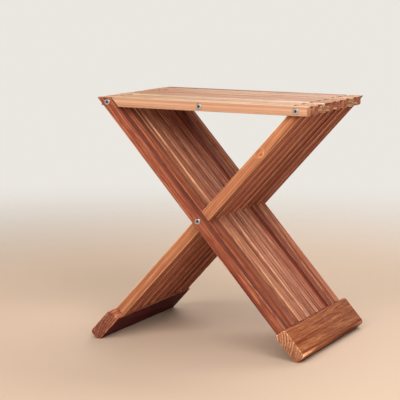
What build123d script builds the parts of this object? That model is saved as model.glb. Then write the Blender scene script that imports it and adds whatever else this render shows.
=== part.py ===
from build123d import *
from math import atan2, cos, sin, tan
import os

os.makedirs("parts", exist_ok=True)

# Folding slatted shower stool, millimetres.
# +X runs to the right along the seat, +Y to the back and +Z up. The origin is on the floor, in the
# middle of the stool. Leg set A starts with the front slat and stands on the right, leg set B ends
# with the back slat and stands on the left. Set B, and the seat slats in its layers, are set A's
# pieces turned half round the upright axis.

# ---------------------------------------------------------------- driving dimensions

# Whole stool
seat_height = 457.0
seat_length = 418.0
layer_count = 16
layer_pitch = 19.0
layer_gap = 0.6

# Slats
seat_slat_height = 16.5
leg_slat_width = 20.0
slat_edge = 0.8
seat_tail_radius = 4.5
front_rest_gap = 1.8
back_rest_gap = 4.6

# Linkage
rod_inset = 22.0
pivot_height = 239.0

# Foot rails
foot_flat = 6.77
rail_width = 61.5
rail_thickness = 24.0
rail_overhang = 8.0
rail_round = 6.5
rail_end_edge = 1.6

# Tenons that hold the leg slats in the foot rails
tenon_thickness = 12.0
tenon_length = 26.0
tenon_shoulder = 2.0
mortise_clearance = 0.1

# Pivot sleeves and their socket screws
sleeve_diameter = 8.0
sleeve_running_clearance = 0.08
screw_head_diameter = 11.0
screw_head_height = 3.2
screw_head_edge = 0.5
screw_head_side_clearance = 0.3
screw_head_gap = 0.15
counterbore_depth = 2.6
socket_width = 4.8
socket_depth = 2.5
thread_diameter = 5.0
thread_clearance = 0.05
thread_length = 11.0
thread_hole_spare = 3.0
cut_sleeve_setback = 0.1

# ---------------------------------------------------------------- sizes that follow from them

slat_thickness = layer_pitch - layer_gap
rod_height = seat_height - seat_slat_height / 2
half_span = seat_length / 2 - rod_inset
leg_angle = atan2(rod_height - pivot_height, half_span)
heel_reach = (pivot_height - rail_thickness / 2 * cos(leg_angle)) / sin(leg_angle)
rail_foot_reach = heel_reach + foot_flat * cos(leg_angle)
rail_top_reach = rail_foot_reach - rail_width
hole_diameter = sleeve_diameter + 2 * sleeve_running_clearance
counterbore_diameter = screw_head_diameter + 2 * screw_head_side_clearance
outer_face = (layer_count - 1) / 2 * layer_pitch + slat_thickness / 2
sleeve_end = outer_face - counterbore_depth + screw_head_gap
rail_length = 2 * (outer_face + rail_overhang)

# Rod centres, as X and Z in the side view
left_rod = (-half_span, rod_height)
right_rod = (half_span, rod_height)
middle_rod = (0.0, rod_height)
pivot_rod = (0.0, pivot_height)

front_layers = range(0, layer_count, 2)


def layer_y(layer):
    """Middle of a layer of slats, counted from the front."""
    return (layer - (layer_count - 1) / 2) * layer_pitch


def side_view(back_y):
    """Plane seen from the front, X to the right and Z up; an extrusion comes towards the front."""
    return Plane.XZ.offset(-back_y)


def leg_view(back_y):
    """The same plane laid along leg A: its x runs down the leg from the pivot, its y to the upper right."""
    return Plane(
        origin=(0, back_y, pivot_height),
        x_dir=(cos(leg_angle), 0, -sin(leg_angle)),
        z_dir=(0, -1, 0),
    )


def half_turn(part):
    """The mate of a piece on the other half of the stool."""
    return part.rotate(Axis.Z, 180)


def save(part, label):
    part.label = label
    export_step(part, f"parts/{label}.step")


# ---------------------------------------------------------------- leg slats


def leg_slat(layer):
    """One slat of leg set A: flush with the seat at the top, tenoned into the foot rail below."""
    back_y = layer_y(layer) + slat_thickness / 2
    half = leg_slat_width / 2
    rise = seat_height - pivot_height
    left_top = -(rise + half * cos(leg_angle)) / sin(leg_angle)
    right_top = -(rise - half * cos(leg_angle)) / sin(leg_angle)
    tenon_width = slat_thickness - 2 * tenon_shoulder
    with BuildPart() as slat:
        with BuildSketch(leg_view(back_y)):
            with BuildLine():
                Polyline(
                    (left_top, -half),
                    (rail_top_reach, -half),
                    (rail_top_reach, half),
                    (right_top, half),
                    close=True,
                )
            make_face()
        extrude(amount=slat_thickness)
        chamfer(slat.faces().filter_by(Axis.Y).edges(), slat_edge)
        with BuildSketch(leg_view(back_y - tenon_shoulder)):
            with Locations((rail_top_reach + tenon_length / 2, 0)):
                Rectangle(tenon_length, tenon_thickness)
        extrude(amount=tenon_width)
        with BuildSketch(side_view(back_y)):
            with Locations(left_rod, pivot_rod):
                Circle(hole_diameter / 2)
        extrude(amount=slat_thickness, mode=Mode.SUBTRACT)
        if layer == 0:
            with BuildSketch(side_view(counterbore_depth - outer_face)):
                with Locations(left_rod, pivot_rod):
                    Circle(counterbore_diameter / 2)
            extrude(amount=counterbore_depth, mode=Mode.SUBTRACT)
    return slat.part


for number, layer in enumerate(front_layers, 1):
    leg_a_slat = leg_slat(layer)
    save(leg_a_slat, f"leg_a_slat_{number}")
    save(half_turn(leg_a_slat), f"leg_b_slat_{len(front_layers) + 1 - number}")

# ---------------------------------------------------------------- seat slats


def seat_slat(layer, rest_gap):
    """One seat slat that turns on the right rod, its left end cut to rest on leg set A."""
    back_y = layer_y(layer) + slat_thickness / 2
    seat_bottom = seat_height - seat_slat_height
    rest_offset = (leg_slat_width / 2 + rest_gap) / sin(leg_angle)
    rest_top = rest_offset - (seat_height - pivot_height) / tan(leg_angle)
    rest_bottom = rest_offset - (seat_bottom - pivot_height) / tan(leg_angle)
    with BuildPart() as slat:
        with BuildSketch(side_view(back_y)) as outline:
            with BuildLine():
                Polyline(
                    (rest_bottom, seat_bottom),
                    (seat_length / 2, seat_bottom),
                    (seat_length / 2, seat_height),
                    (rest_top, seat_height),
                    close=True,
                )
            make_face()
            tail_corner = outline.vertices().sort_by(Axis.X)[-2:].sort_by(Axis.Z)[0]
            fillet(tail_corner, seat_tail_radius)
        extrude(amount=slat_thickness)
        chamfer(slat.faces().filter_by(Axis.Y).edges(), slat_edge)
        with BuildSketch(side_view(back_y)):
            with Locations(middle_rod, right_rod):
                Circle(hole_diameter / 2)
        extrude(amount=slat_thickness, mode=Mode.SUBTRACT)
        if layer == 0:
            with BuildSketch(side_view(counterbore_depth - outer_face)):
                with Locations(middle_rod, right_rod):
                    Circle(counterbore_diameter / 2)
            extrude(amount=counterbore_depth, mode=Mode.SUBTRACT)
    return slat.part


for layer in front_layers:
    save(seat_slat(layer, front_rest_gap), f"seat_slat_{layer + 1:02d}")
    save(half_turn(seat_slat(layer, back_rest_gap)), f"seat_slat_{layer_count - layer:02d}")

# ---------------------------------------------------------------- foot rails


def foot_rail():
    """Foot rail of leg set A: a flat bar along the slats' feet, cut level where it stands."""
    half = rail_thickness / 2
    heel = (heel_reach, -half)
    toe = (rail_foot_reach, foot_flat * sin(leg_angle) - half)
    with BuildPart() as rail:
        with BuildSketch(leg_view(rail_length / 2)):
            with BuildLine():
                Polyline(
                    (rail_top_reach, -half),
                    heel,
                    toe,
                    (rail_foot_reach, half),
                    (rail_top_reach, half),
                    close=True,
                )
            make_face()
        extrude(amount=rail_length)
        outer_side = Vector(sin(leg_angle), 0, cos(leg_angle))
        outer = rail.faces().sort_by(lambda face: face.center().dot(outer_side))[-1]
        fillet(outer.edges().filter_by(Axis.Y), rail_round)
        chamfer(rail.faces().filter_by(Axis.Y).edges(), rail_end_edge)
        for layer in front_layers:
            back_y = layer_y(layer) + slat_thickness / 2 - tenon_shoulder
            mortise_width = slat_thickness - 2 * tenon_shoulder + 2 * mortise_clearance
            with BuildSketch(leg_view(back_y + mortise_clearance)):
                with Locations((rail_top_reach + tenon_length / 2, 0)):
                    Rectangle(
                        tenon_length + 2 * mortise_clearance,
                        tenon_thickness + 2 * mortise_clearance,
                    )
            extrude(amount=mortise_width, mode=Mode.SUBTRACT)
    return rail.part


right_foot_rail = foot_rail()
save(right_foot_rail, "right_foot_rail")
save(half_turn(right_foot_rail), "left_foot_rail")

# ---------------------------------------------------------------- pivot sleeves

thread_depth = thread_length + thread_hole_spare


def long_sleeve(centre):
    """A steel sleeve across all the slats, threaded inside at both ends."""
    with BuildPart() as tube:
        with BuildSketch(side_view(sleeve_end)):
            with Locations(centre):
                Circle(sleeve_diameter / 2)
        extrude(amount=2 * sleeve_end)
        for back_y in (sleeve_end, thread_depth - sleeve_end):
            with BuildSketch(side_view(back_y)):
                with Locations(centre):
                    Circle(thread_diameter / 2 + thread_clearance)
            extrude(amount=thread_depth, mode=Mode.SUBTRACT)
    return tube.part


save(long_sleeve(pivot_rod), "pivot_sleeve")
save(long_sleeve(left_rod), "left_seat_sleeve")
save(long_sleeve(right_rod), "right_seat_sleeve")

# The middle sleeve joins the two sets of seat slats. It is cut at every layer, so that the sets can part.
with BuildPart() as front_middle_sleeve:
    for layer in front_layers:
        back_y = layer_y(layer) + slat_thickness / 2 - cut_sleeve_setback
        front_y = layer_y(layer) - slat_thickness / 2 + cut_sleeve_setback
        if layer == 0:
            front_y = -sleeve_end
        with BuildSketch(side_view(back_y)):
            with Locations(middle_rod):
                Circle(sleeve_diameter / 2)
        extrude(amount=back_y - front_y)
    with BuildSketch(side_view(thread_depth - sleeve_end)):
        with Locations(middle_rod):
            Circle(thread_diameter / 2 + thread_clearance)
    extrude(amount=thread_depth, mode=Mode.SUBTRACT)
save(front_middle_sleeve.part, "front_middle_sleeve")
save(half_turn(front_middle_sleeve.part), "back_middle_sleeve")

# ---------------------------------------------------------------- socket screws


def socket_screw(centre):
    """A low-headed socket screw in the front end of a sleeve."""
    head_top = sleeve_end + screw_head_height
    with BuildPart() as screw:
        with BuildSketch(side_view(-sleeve_end)):
            with Locations(centre):
                Circle(screw_head_diameter / 2)
        extrude(amount=screw_head_height)
        chamfer(screw.edges().sort_by(Axis.Y)[0], screw_head_edge)
        with BuildSketch(side_view(socket_depth - head_top)):
            with Locations(centre):
                RegularPolygon(socket_width / 2, 6, major_radius=False)
        extrude(amount=socket_depth, mode=Mode.SUBTRACT)
        with BuildSketch(side_view(thread_length - sleeve_end)):
            with Locations(centre):
                Circle(thread_diameter / 2)
        extrude(amount=thread_length)
    return screw.part


def screw_pair(front_centre, turned_centre):
    """The front and back screws of one sleeve; the back one is a front one half-turned."""
    return socket_screw(front_centre) + half_turn(socket_screw(turned_centre))


save(screw_pair(pivot_rod, pivot_rod), "pivot_screws")
save(screw_pair(left_rod, right_rod), "left_seat_screws")
save(screw_pair(right_rod, left_rod), "right_seat_screws")
middle_screw = socket_screw(middle_rod)
save(middle_screw, "front_middle_screw")
save(half_turn(middle_screw), "back_middle_screw")
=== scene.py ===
import random
from math import atan2, cos, radians, sin

import bpy
from mathutils import Euler, Matrix, Vector


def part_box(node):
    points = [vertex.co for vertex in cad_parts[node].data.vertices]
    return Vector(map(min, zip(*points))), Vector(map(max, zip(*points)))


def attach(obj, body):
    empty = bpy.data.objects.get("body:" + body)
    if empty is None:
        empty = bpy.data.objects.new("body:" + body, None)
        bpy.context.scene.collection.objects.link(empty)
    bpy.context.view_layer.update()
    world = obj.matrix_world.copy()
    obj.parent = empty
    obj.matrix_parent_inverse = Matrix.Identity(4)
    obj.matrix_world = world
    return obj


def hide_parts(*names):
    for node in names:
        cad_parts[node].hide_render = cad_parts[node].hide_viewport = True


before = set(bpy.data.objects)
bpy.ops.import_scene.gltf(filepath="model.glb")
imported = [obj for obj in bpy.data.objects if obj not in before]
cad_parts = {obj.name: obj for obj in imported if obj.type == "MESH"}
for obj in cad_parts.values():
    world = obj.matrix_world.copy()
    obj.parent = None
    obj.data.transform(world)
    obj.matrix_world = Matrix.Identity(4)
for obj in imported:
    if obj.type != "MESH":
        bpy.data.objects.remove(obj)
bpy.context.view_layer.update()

# ---------------------------------------------------------------- leg set A

# Eight straight slats of teak, planed to 20 by 18.4 mm with their edges eased and rubbed with oil.
# They run from upper left to lower right and carry the pivot sleeve. Each was sawn from another
# board, so each has its own tone, its own distance from the heart of the tree and its own grain.

# The tones of the boards, from the palest to the darkest
HONEY = "BE8D68"
FAWN = "BD7A5C"
AMBER = "AD6B53"
CHESTNUT = "AB6248"
COPPER = "A95B40"
SIENNA = "96533B"
RUSSET = "924A32"
UMBER = "854230"

# How early and late wood differ from the board's own tone, in red, green and blue
EARLY_WOOD = Vector((1.35, 1.62, 1.67))
LATE_WOOD = Vector((0.5, 0.33, 0.31))

MILLIMETRE = 0.001


def linear(hex_colour):
    """An sRGB hex colour as the linear colour that a socket takes."""
    channels = [int(hex_colour[i:i + 2], 16) / 255 for i in (0, 2, 4)]
    curve = [c / 12.92 if c <= 0.04045 else ((c + 0.055) / 1.055) ** 2.4 for c in channels]
    return (*curve, 1.0)


def paler(level):
    """How teak's colour changes as it gets paler, or darker below 1: least of all in red."""
    return (level, level ** 1.6, level ** 1.7, 1.0)


def add_node(tree, kind, inputs=None, **settings):
    """Adds a node. Its inputs are values, or the sockets that feed them."""
    made = tree.nodes.new("ShaderNode" + kind)
    for option, value in settings.items():
        setattr(made, option, value)
    for socket, value in (inputs or {}).items():
        if isinstance(value, bpy.types.NodeSocket):
            tree.links.new(value, made.inputs[socket])
        else:
            made.inputs[socket].default_value = value
    return made


def set_ramp(ramp, stops):
    """Gives a colour ramp its stops, each a place and a colour."""
    while len(ramp.elements) < len(stops):
        ramp.elements.new(1.0)
    for element, (place, colour) in zip(ramp.elements, stops):
        element.position = place
        element.color = colour


def oiled_teak(name, tone, grain, seed, figure, end, edge, matt, film, year=2.6, sawn=None,
               lean=0.7, end_edge_highlight=1.0, flank=None, below=None, knot=None):
    """Sawn and oiled teak, warm brown and nearly matt, as a solid block with its rings and fibres.

    tone: the board's own colour
    grain: how the block is turned in the stool, with its x along the grain
    seed: which tree the board comes from
    figure: how strongly the grain shows
    end, flank, below: tones of the cut ends, of the two y sides, and of a lower side painted darker
    as shade
    edge: how pale the eased edges are along the grain, partly wear and partly painted highlight;
        below 1 they are darker, partly dirt and partly painted shade
    end_edge_highlight: a painted highlight on the eased edges across the grain
    matt, film: how rough the oil film is, and how much of it is left to shine
    year: the width of one ring in millimetres
    sawn: the way from the board to the heart in degrees, where it isn't left to the draw
    lean: the most that the grain runs out of the board, in degrees
    knot: where a branch grew
    """
    draw = random.Random(seed)
    material = bpy.data.materials.new(name)
    material.use_nodes = True
    tree = material.node_tree
    surface = tree.nodes["Principled BSDF"]
    body = Vector(linear(tone)[:3])
    early = (*(body * EARLY_WOOD), 1.0)
    late = (*(body * LATE_WOOD), 1.0)

    # The heart lies 60 to 150 mm off the board, so its rings are gentle curves, and the board comes
    # from somewhere along 4 m of trunk. The block's coordinates are millimetres.
    full_turn = 6.28
    side = draw.uniform(0, full_turn)
    if sawn is not None:
        side = radians(sawn)
    away = draw.uniform(0.06, 0.15)
    along = Euler(grain).to_matrix()
    runout = [radians(draw.uniform(-lean, lean)) for turn in range(2)]
    turned = along @ Euler((0, *runout)).to_matrix()
    up_trunk = draw.uniform(-2, 2)
    heart = along @ Vector((up_trunk, away * cos(side), away * sin(side)))
    place = add_node(tree, "TexCoord")
    block = add_node(tree, "Mapping", {
        "Vector": place.outputs["Object"], "Location": heart, "Rotation": turned.to_euler(),
        "Scale": (MILLIMETRE, MILLIMETRE, MILLIMETRE)}, vector_type="TEXTURE").outputs["Vector"]

    # Distance from the heart, with the slow wander of a real trunk
    most_wander = 10.0
    slow = add_node(tree, "Mapping", {"Vector": block, "Scale": (0.002, 0.02, 0.02)})
    wander = add_node(tree, "TexNoise", {
        "Vector": slow.outputs["Vector"], "Scale": 1.0, "Detail": 3.0})
    across = add_node(tree, "Mapping", {"Vector": block, "Scale": (0.0, 1.0, 1.0)})
    radius = add_node(tree, "VectorMath", {0: across.outputs["Vector"]}, operation="LENGTH")
    reach = add_node(tree, "Math", {
        0: wander.outputs["Fac"], 1: most_wander, 2: radius.outputs["Value"]},
        operation="MULTIPLY_ADD")

    # A knot goes right through the board, 18 mm long and 12 mm wide, and the rings swerve round it
    if knot:
        half_knot = (9 * MILLIMETRE, 1000, 6 * MILLIMETRE)
        most_swerve = 7.0
        centred = add_node(tree, "Mapping", {
            "Vector": place.outputs["Object"], "Location": knot, "Rotation": grain,
            "Scale": half_knot}, vector_type="TEXTURE")
        spot = add_node(tree, "VectorMath", {0: centred.outputs["Vector"]}, operation="LENGTH")
        swerve = add_node(tree, "MapRange", {
            "Value": spot.outputs["Value"], "From Min": 0.0, "From Max": 2.2,
            "To Min": most_swerve, "To Max": 0.0}, interpolation_type="SMOOTHSTEP")
        reach = add_node(tree, "Math", {0: reach.outputs["Value"], 1: swerve.outputs["Result"]})

    # Rings one year apart, each darkening slowly to its late wood
    ring = add_node(tree, "Math", {0: reach.outputs["Value"], 1: 1 / year}, operation="MULTIPLY")
    ring = add_node(tree, "Math", {0: ring.outputs["Value"]}, operation="FRACT")
    late_wood = add_node(tree, "ValToRGB", {"Fac": ring.outputs["Value"]})
    set_ramp(late_wood.color_ramp, [
        (0.0, (0.7, 0.7, 0.7, 1)), (0.15, (0.0, 0.0, 0.0, 1)), (0.6, (0.2, 0.2, 0.2, 1)),
        (0.92, (1, 1, 1, 1)), (1.0, (0.7, 0.7, 0.7, 1))])

    # Bands of tone 3 to 10 mm wide that follow the rings, and clouds of tone along the board
    band = add_node(tree, "TexNoise", {
        "W": reach.outputs["Value"], "Scale": 0.26, "Detail": 3.0, "Roughness": 0.7},
        noise_dimensions="1D")
    long = add_node(tree, "Mapping", {"Vector": block, "Scale": (0.004, 0.13, 0.13)})
    cloud = add_node(tree, "TexNoise", {
        "Vector": long.outputs["Vector"], "Scale": 1.0, "Detail": 4.0, "Roughness": 0.6})
    tone_mix = add_node(tree, "Mix", {
        "Factor": 0.45, "A": band.outputs["Fac"], "B": cloud.outputs["Fac"]})

    # Fibres and pores drawn out along the grain. Real ones are a few tenths of a millimetre wide,
    # and these are drawn 2 mm wide so that they show.
    drawn = add_node(tree, "Mapping", {"Vector": block, "Scale": (0.006, 0.5, 0.5)})
    fibre = add_node(tree, "TexNoise", {
        "Vector": drawn.outputs["Vector"], "Scale": 1.0, "Detail": 3.0, "Roughness": 0.7})
    dashes = add_node(tree, "Mapping", {"Vector": block, "Scale": (0.05, 0.6, 0.6)})
    pore = add_node(tree, "TexNoise", {
        "Vector": dashes.outputs["Vector"], "Scale": 1.0, "Detail": 2.0})
    pore = add_node(tree, "MapRange", {
        "Value": pore.outputs["Fac"], "From Min": 0.52, "From Max": 0.66})

    # How squarely a face lies to the grain tells the cut ends and the eased edges from the sides
    aim = add_node(tree, "VectorRotate", {
        "Vector": place.outputs["Normal"], "Rotation": grain},
        rotation_type="EULER_XYZ", invert=True)
    facing = add_node(tree, "VectorMath", {0: aim.outputs["Vector"]}, operation="ABSOLUTE")
    parts = add_node(tree, "SeparateXYZ", {"Vector": facing.outputs["Vector"]})
    flattest = add_node(tree, "Math", {
        0: parts.outputs["Y"], 1: parts.outputs["Z"]}, operation="MAXIMUM")
    flattest = add_node(tree, "Math", {
        0: flattest.outputs["Value"], 1: parts.outputs["X"]}, operation="MAXIMUM")
    cut = add_node(tree, "MapRange", {
        "Value": parts.outputs["X"], "From Min": 0.55, "From Max": 0.68})

    # Colour: bands first, then the rings' late wood, which shows most on the cut ends
    spread = 0.13 / figure ** 0.5
    depth_on_sides, depth_on_ends = 0.35 * figure, 0.9 * figure
    wood = add_node(tree, "ValToRGB", {"Fac": tone_mix.outputs["Result"]})
    set_ramp(wood.color_ramp, [
        (0.5 - spread, late), (0.5, (*body, 1.0)), (0.5 + spread, early)])
    strength = add_node(tree, "MapRange", {
        "Value": cut.outputs["Result"], "To Min": depth_on_sides, "To Max": depth_on_ends})
    depth = add_node(tree, "Math", {
        0: late_wood.outputs["Color"], 1: strength.outputs["Result"]}, operation="MULTIPLY")
    ringed = add_node(tree, "MixRGB", {
        "Color1": wood.outputs["Color"], "Color2": late, "Fac": depth.outputs["Value"]})

    # Over that the fibres, dull and bright by turns, and the pores, as dark as late wood
    dull, bright = 1 - 0.45 * figure, 1 + 0.4 * figure
    pore_depth = 0.5 * figure
    streak = add_node(tree, "MapRange", {
        "Value": fibre.outputs["Fac"], "From Min": 0.3, "From Max": 0.7})
    streak = add_node(tree, "MixRGB", {
        "Color1": paler(dull), "Color2": paler(bright), "Fac": streak.outputs["Result"]})
    streaked = add_node(tree, "VectorMath", {
        0: ringed.outputs["Color"], 1: streak.outputs["Color"]}, operation="MULTIPLY")
    porous = add_node(tree, "Math", {
        0: pore.outputs["Result"], 1: pore_depth}, operation="MULTIPLY")
    figured = add_node(tree, "MixRGB", {
        "Color1": streaked.outputs["Vector"], "Color2": late, "Fac": porous.outputs["Value"]})

    # The cut ends and some other sides have a tone of their own; a darker lower side is painted
    # shade
    patches = [(end, cut)]
    if flank:
        patches.append((flank, add_node(tree, "MapRange", {
            "Value": parts.outputs["Y"], "From Min": 0.75, "From Max": 0.95})))
    if below:
        down = add_node(tree, "SeparateXYZ", {"Vector": aim.outputs["Vector"]})
        patches.append((below, add_node(tree, "MapRange", {
            "Value": down.outputs["Z"], "From Min": -0.75, "From Max": -0.95})))
    tint = (1, 1, 1, 1)
    for patch_tone, where in patches:
        change = [part / own for part, own in zip(linear(patch_tone), body)]
        patched = add_node(tree, "MixRGB", {
            "Color1": tint, "Color2": (*change, 1), "Fac": where.outputs["Result"]})
        tint = patched.outputs["Color"]

    # The eased edges: paler above 1, partly wear and partly painted highlight; darker below 1,
    # partly dirt and partly painted shade. Across the grain they can take a painted highlight of
    # their own.
    square = add_node(tree, "MapRange", {
        "Value": parts.outputs["X"], "From Min": 0.75, "From Max": 0.9,
        "To Min": end_edge_highlight, "To Max": 1.0})
    flat = add_node(tree, "MapRange", {
        "Value": flattest.outputs["Value"], "From Min": 0.75, "From Max": 0.95})
    eased = add_node(tree, "MixRGB", {
        "Color1": paler(edge), "Color2": (1, 1, 1, 1), "Fac": flat.outputs["Result"]})
    worn_and_lit = add_node(tree, "MixRGB", {
        "Color1": eased.outputs["Color"], "Color2": square.outputs["Result"],
        "Fac": cut.outputs["Result"]})
    shade = add_node(tree, "VectorMath", {
        0: tint, 1: worn_and_lit.outputs["Color"]}, operation="MULTIPLY")

    # A knot is dark in the middle, with a rim up to half as bright again as the board
    if knot:
        rim = (1.5, 1.5, 1.5)
        heartwood = add_node(tree, "ValToRGB", {"Fac": spot.outputs["Value"]})
        set_ramp(heartwood.color_ramp, [
            (0.0, (0.5, 0.34, 0.32, 1)), (0.3, (0.55, 0.42, 0.4, 1)), (0.55, (0.9, 1.0, 1.0, 1)),
            (1.0, (0.67, 0.67, 0.67, 1))])
        halo = add_node(tree, "VectorMath", {
            0: heartwood.outputs["Color"], 1: rim}, operation="MULTIPLY")
        shade = add_node(tree, "VectorMath", {
            0: shade.outputs["Vector"], 1: halo.outputs["Vector"]}, operation="MULTIPLY")
    colour = add_node(tree, "VectorMath", {
        0: figured.outputs["Color"], 1: shade.outputs["Vector"]}, operation="MULTIPLY")
    tree.links.new(colour.outputs["Vector"], surface.inputs["Base Color"])

    # Satin oil film: fibres and sunken pores leave a fine relief and change the gloss a little
    pore_relief = -0.6
    gloss = add_node(tree, "MapRange", {
        "Value": fibre.outputs["Fac"], "To Min": matt + 0.1, "To Max": matt - 0.1})
    tree.links.new(gloss.outputs["Result"], surface.inputs["Roughness"])
    relief = add_node(tree, "Math", {
        0: pore.outputs["Result"], 1: pore_relief, 2: fibre.outputs["Fac"]},
        operation="MULTIPLY_ADD")
    bump = add_node(tree, "Bump", {
        "Height": relief.outputs["Value"], "Strength": 0.25, "Distance": 0.3 * MILLIMETRE})
    tree.links.new(bump.outputs["Normal"], surface.inputs["Normal"])
    surface.inputs["IOR"].default_value = 1.5
    surface.inputs["Specular IOR Level"].default_value = film
    return material


def finish_node(node, material):
    """Puts a material on every slot of a piece of the frame."""
    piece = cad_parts[node]
    for slot in piece.material_slots:
        slot.material = material


# The leg slats' slope, from the pivot to the left seat sleeve
pivot_low, pivot_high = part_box("pivot_sleeve")
left_low, left_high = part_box("left_seat_sleeve")
rise = (left_low + left_high - pivot_low - pivot_high) / 2
leg_slope = atan2(rise.z, -rise.x)

# The fronts and backs of four of the slats take paler tones than the sides between; on the
# rearmost one the darker sides are painted shade, against the back light's sheen. The front one
# has the boldest grain.
leg_a_tones = [UMBER, SIENNA, FAWN, AMBER, AMBER, CHESTNUT, UMBER, CHESTNUT]
leg_a_fronts = {1: RUSSET, 2: COPPER, 6: AMBER, 8: FAWN}
for number, tone in enumerate(leg_a_tones, 1):
    finish_node(f"leg_a_slat_{number}", oiled_teak(
        f"oiled teak, leg A slat {number}", tone, grain=(0, leg_slope, 0), seed=100 + number,
        figure=1.6 if number == 1 else 1.3, end=HONEY, edge=1.5, matt=0.85, film=0.2,
        flank=leg_a_fronts.get(number)))

# ---------------------------------------------------------------- leg set B

# Eight slats like those of set A, from upper right to lower left, in the layers between them.
# The front one is a paler board than its mates, with a small knot between the pivot and the seat.

TAN = "A56745"
BRICK = "A15B42"

leg_b_tones = [TAN, CHESTNUT, BRICK, CHESTNUT, SIENNA, SIENNA, BRICK, RUSSET]
# Three of the slats have fronts and backs of another tone; on the rearmost one the darker sides are
# painted shade, against the back light's sheen.
leg_b_fronts = {6: RUSSET, 7: SIENNA, 8: AMBER}
leg_b_knots = {1: (0.1155, 0, 0.3665)}
for number, tone in enumerate(leg_b_tones, 1):
    finish_node(f"leg_b_slat_{number}", oiled_teak(
        f"oiled teak, leg B slat {number}", tone, grain=(0, -leg_slope, 0), seed=200 + number,
        figure=0.6 if number == 1 else 0.7, end=HONEY, edge=1.8, matt=0.8, film=0.2,
        flank=leg_b_fronts.get(number), knot=leg_b_knots.get(number)))

# ---------------------------------------------------------------- seat slats

# Sixteen seat slats of paler teak, 16.5 mm high, the front one with hardly any grain. The odd ones
# turn on the right sleeve and rest with their cut left ends against leg set A, the even ones the
# other way about.

CREAM = "CA9D7A"
WHEAT = "B38566"
SAND = "B57E5A"

# The rearmost slat's top and underside take a darker tone than its front and back: painted shade,
# against the back light's sheen.
seat_tones = [CREAM, CREAM, SAND, CREAM, CREAM, CREAM, SAND, SAND,
              SAND, SAND, SAND, SAND, HONEY, HONEY, SAND, RUSSET]
seat_fronts = {1: WHEAT, 16: COPPER}
for number, tone in enumerate(seat_tones, 1):
    finish_node(f"seat_slat_{number:02d}", oiled_teak(
        f"oiled teak, seat slat {number}", tone, grain=(0, 0, 0), seed=300 + number,
        figure=0.15 if number == 1 else 1.2, end=SAND if tone in (CREAM, HONEY) else COPPER,
        edge=0.7, matt=0.55, film=0.3, flank=seat_fronts.get(number)))

# ---------------------------------------------------------------- foot rails

# Two flat bars of teak, 61.5 by 24 mm, with a round over their outer edges. The leg slats are
# tenoned and glued into them, and they stand on a narrow flat. The left one is a darker board,
# and its underside is painted darker still, as shade. The edges round the cut ends carry a painted
# highlight, and the rounds along the bars are painted a little darker, as shade.

CLAY = "B2694B"
STRAW = "AC7453"
OCHRE = "9C5734"
BARK = "8A513B"
COCOA_SHADE = "5A1816"

for side, body, slope, sawn, tone, end, flank, below in (
        ("right", "leg_set_a", leg_slope, 129, OCHRE, STRAW, None, None),
        ("left", "leg_set_b", -leg_slope, 18, UMBER, BARK, CLAY, COCOA_SHADE)):
    wood = oiled_teak(
        f"oiled teak, {side} foot rail", tone, grain=(slope, 0, radians(90)), seed=side,
        figure=1.1, end=end, edge=0.75, matt=0.85, film=0.2, year=5.0, sawn=sawn, lean=3,
        end_edge_highlight=2.4, flank=flank, below=below)
    bpy.ops.object.select_all(action="DESELECT")
    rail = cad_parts[f"{side}_foot_rail"].copy()
    rail.data = rail.data.copy()
    rail.name = f"smooth_{side}_foot_rail"
    bpy.context.scene.collection.objects.link(rail)
    bpy.context.view_layer.objects.active = rail
    rail.select_set(True)
    bpy.ops.object.mode_set(mode="EDIT")
    bpy.ops.mesh.select_all(action="SELECT")
    bpy.ops.mesh.remove_doubles(threshold=0.01 * MILLIMETRE)
    bpy.ops.object.mode_set(mode="OBJECT")
    bpy.ops.object.shade_smooth_by_angle(angle=radians(30))
    for slot in rail.material_slots:
        slot.material = wood
    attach(rail, body)
    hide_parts(f"{side}_foot_rail")

# ---------------------------------------------------------------- sleeves and screws

# Turned stainless steel sleeves, 8 mm across, that the slats turn on. A low socket screw in each
# end holds the layers together, and its socket is painted dark, as shade.

STEEL_BRIGHT = "CFCDC8"
STEEL_DARK = "A9A8A5"
SOCKET_SHADE = "1C1815"


def turned_steel(name, roughness, middle=None):
    """Stainless steel as it comes off the lathe: bright grey, with a soft sheen.

    A screw gives its middle: on the line through it, from front to back, the socket is painted dark
    as shade.
    """
    material = bpy.data.materials.new(name)
    material.use_nodes = True
    tree = material.node_tree
    surface = tree.nodes["Principled BSDF"]
    place = add_node(tree, "TexCoord")
    speck = add_node(tree, "TexNoise", {
        "Vector": place.outputs["Object"], "Scale": 900.0, "Detail": 2.0})
    colour = add_node(tree, "ValToRGB", {"Fac": speck.outputs["Fac"]})
    set_ramp(colour.color_ramp, [(0.3, linear(STEEL_DARK)), (0.7, linear(STEEL_BRIGHT))])
    if middle:
        centred = add_node(tree, "Mapping", {
            "Vector": place.outputs["Object"], "Location": middle, "Scale": (1, 1000, 1)},
            vector_type="TEXTURE")
        radius = add_node(tree, "VectorMath", {0: centred.outputs["Vector"]}, operation="LENGTH")
        # Inside the socket the colour is painted dark, as shade.
        socket_shade = add_node(tree, "MapRange", {
            "Value": radius.outputs["Value"], "From Min": 2.3 * MILLIMETRE,
            "From Max": 2.8 * MILLIMETRE, "To Min": 0.93, "To Max": 0.0})
        colour = add_node(tree, "MixRGB", {
            "Color1": colour.outputs["Color"], "Color2": linear(SOCKET_SHADE),
            "Fac": socket_shade.outputs["Result"]})
    tree.links.new(colour.outputs["Color"], surface.inputs["Base Color"])
    shine = add_node(tree, "MapRange", {
        "Value": speck.outputs["Fac"], "To Min": roughness - 0.08, "To Max": roughness + 0.08})
    tree.links.new(shine.outputs["Result"], surface.inputs["Roughness"])
    surface.inputs["Metallic"].default_value = 1.0
    return material


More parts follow.
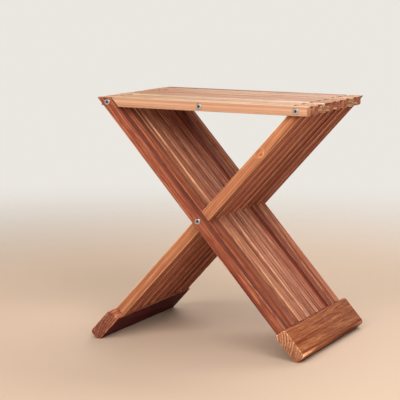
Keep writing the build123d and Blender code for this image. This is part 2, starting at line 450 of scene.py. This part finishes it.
sleeve_steel = turned_steel("turned stainless steel, sleeves", roughness=0.35)
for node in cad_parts:
    if node.endswith("_sleeve"):
        finish_node(node, sleeve_steel)
    if "_screw" in node:
        low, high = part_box(node)
        label = node.replace("_", " ")
        finish_node(node, turned_steel(
            f"turned stainless steel, {label}", roughness=0.28, middle=(low + high) / 2))

# ---------------------------------------------------------------- floor

# A plain pale floor in matt paint, so that only the stool's shadow shows on it. From half a metre
# out it fades slowly into the pale room.

FLOOR_PAINT = "C4AC96"

bpy.ops.object.select_all(action="DESELECT")
bpy.ops.mesh.primitive_circle_add(vertices=96, radius=3.0, fill_type="NGON", location=(0, 0, 0))
floor = bpy.context.object
floor.name = "floor"
floor_paint = bpy.data.materials.new("matt floor paint")
floor_paint.use_nodes = True
tree = floor_paint.node_tree
paint = tree.nodes["Principled BSDF"]
paint.inputs["Base Color"].default_value = linear(FLOOR_PAINT)
paint.inputs["Roughness"].default_value = 0.8
place = add_node(tree, "TexCoord")
radius = add_node(tree, "VectorMath", {0: place.outputs["Object"]}, operation="LENGTH")
faded = add_node(tree, "MapRange", {
    "Value": radius.outputs["Value"], "From Min": 0.55, "From Max": 2.2},
    interpolation_type="SMOOTHSTEP")
clear = add_node(tree, "BsdfTransparent")
cover = add_node(tree, "MixShader", {
    0: faded.outputs["Result"], 1: paint.outputs["BSDF"], 2: clear.outputs["BSDF"]})
tree.links.new(cover.outputs["Shader"], tree.nodes["Material Output"].inputs["Surface"])
floor.data.materials.append(floor_paint)

# ---------------------------------------------------------------- light

# Three broad soft lights in front, a higher one on the right, one straight above, and two behind
# for the sheen of the seat and the legs' edges. The room is pale at the floor and dark overhead.

LAMPLIGHT = (1.0, 0.97, 0.94)
ROOM_WHITE = "FBF7F0"


def soft_light(name, place, watts, size=1.2):
    """A square soft light, its place and its size in metres, that faces the middle of the stool."""
    lamp = bpy.data.lights.new(name, "AREA")
    lamp.size = size
    lamp.energy = watts
    lamp.color = LAMPLIGHT
    rig = bpy.data.objects.new(name, lamp)
    bpy.context.scene.collection.objects.link(rig)
    rig.location = place
    middle = Vector((0, 0, 0.25))
    rig.rotation_euler = (middle - rig.location).to_track_quat("-Z", "Y").to_euler()
    rig.visible_camera = False


soft_light("left key light", (-0.9, -2.6, 1.7), watts=40)
soft_light("front key light", (0.3, -2.9, 1.6), watts=36)
soft_light("right key light", (1.7, -2.2, 1.4), watts=34)
soft_light("right high light", (1.5, -1.4, 2.3), watts=36)
soft_light("back light", (0.2, 1.6, 2.0), watts=40, size=1.6)
soft_light("low back light", (-0.8, 2.6, 1.1), watts=7)
soft_light("top light", (0.0, 0.1, 2.8), watts=16)

room = bpy.data.worlds.new("pale room")
room.use_nodes = True
tree = room.node_tree
look = add_node(tree, "TexCoord")
height = add_node(tree, "SeparateXYZ", {"Vector": look.outputs["Generated"]})
fall = add_node(tree, "MapRange", {
    "Value": height.outputs["Z"], "From Min": -0.02, "From Max": 0.06,
    "To Min": 0.86, "To Max": 0.03}, interpolation_type="SMOOTHSTEP")
tree.links.new(fall.outputs["Result"], tree.nodes["Background"].inputs["Strength"])
tree.nodes["Background"].inputs["Color"].default_value = linear(ROOM_WHITE)
bpy.context.scene.world = room
bpy.context.scene.view_settings.view_transform = "Standard"

# ---------------------------------------------------------------- camera

# A long lens 3 m from the stool, to the right of the front and above the seat, tipped a little
# down. It looks at a point left of the middle and just above the pivot.

target = Vector((-0.065407, 0, 0.254256))
distance = 3.01927
turn_right = radians(24.866)
tip_down = radians(8.413)
roll = radians(0.597)

camera_data = bpy.data.cameras.new("camera")
camera_data.lens = 141.27
camera_data.clip_start = 0.1
camera_data.clip_end = 100
camera = bpy.data.objects.new("camera", camera_data)
bpy.context.scene.collection.objects.link(camera)
stand = Matrix.Rotation(turn_right, 3, "Z") @ Matrix.Rotation(radians(90) - tip_down, 3, "X")
stand = stand @ Matrix.Rotation(roll, 3, "Z")
camera.rotation_euler = stand.to_euler()
camera.location = target + stand @ Vector((0, 0, distance))
bpy.context.scene.camera = camera
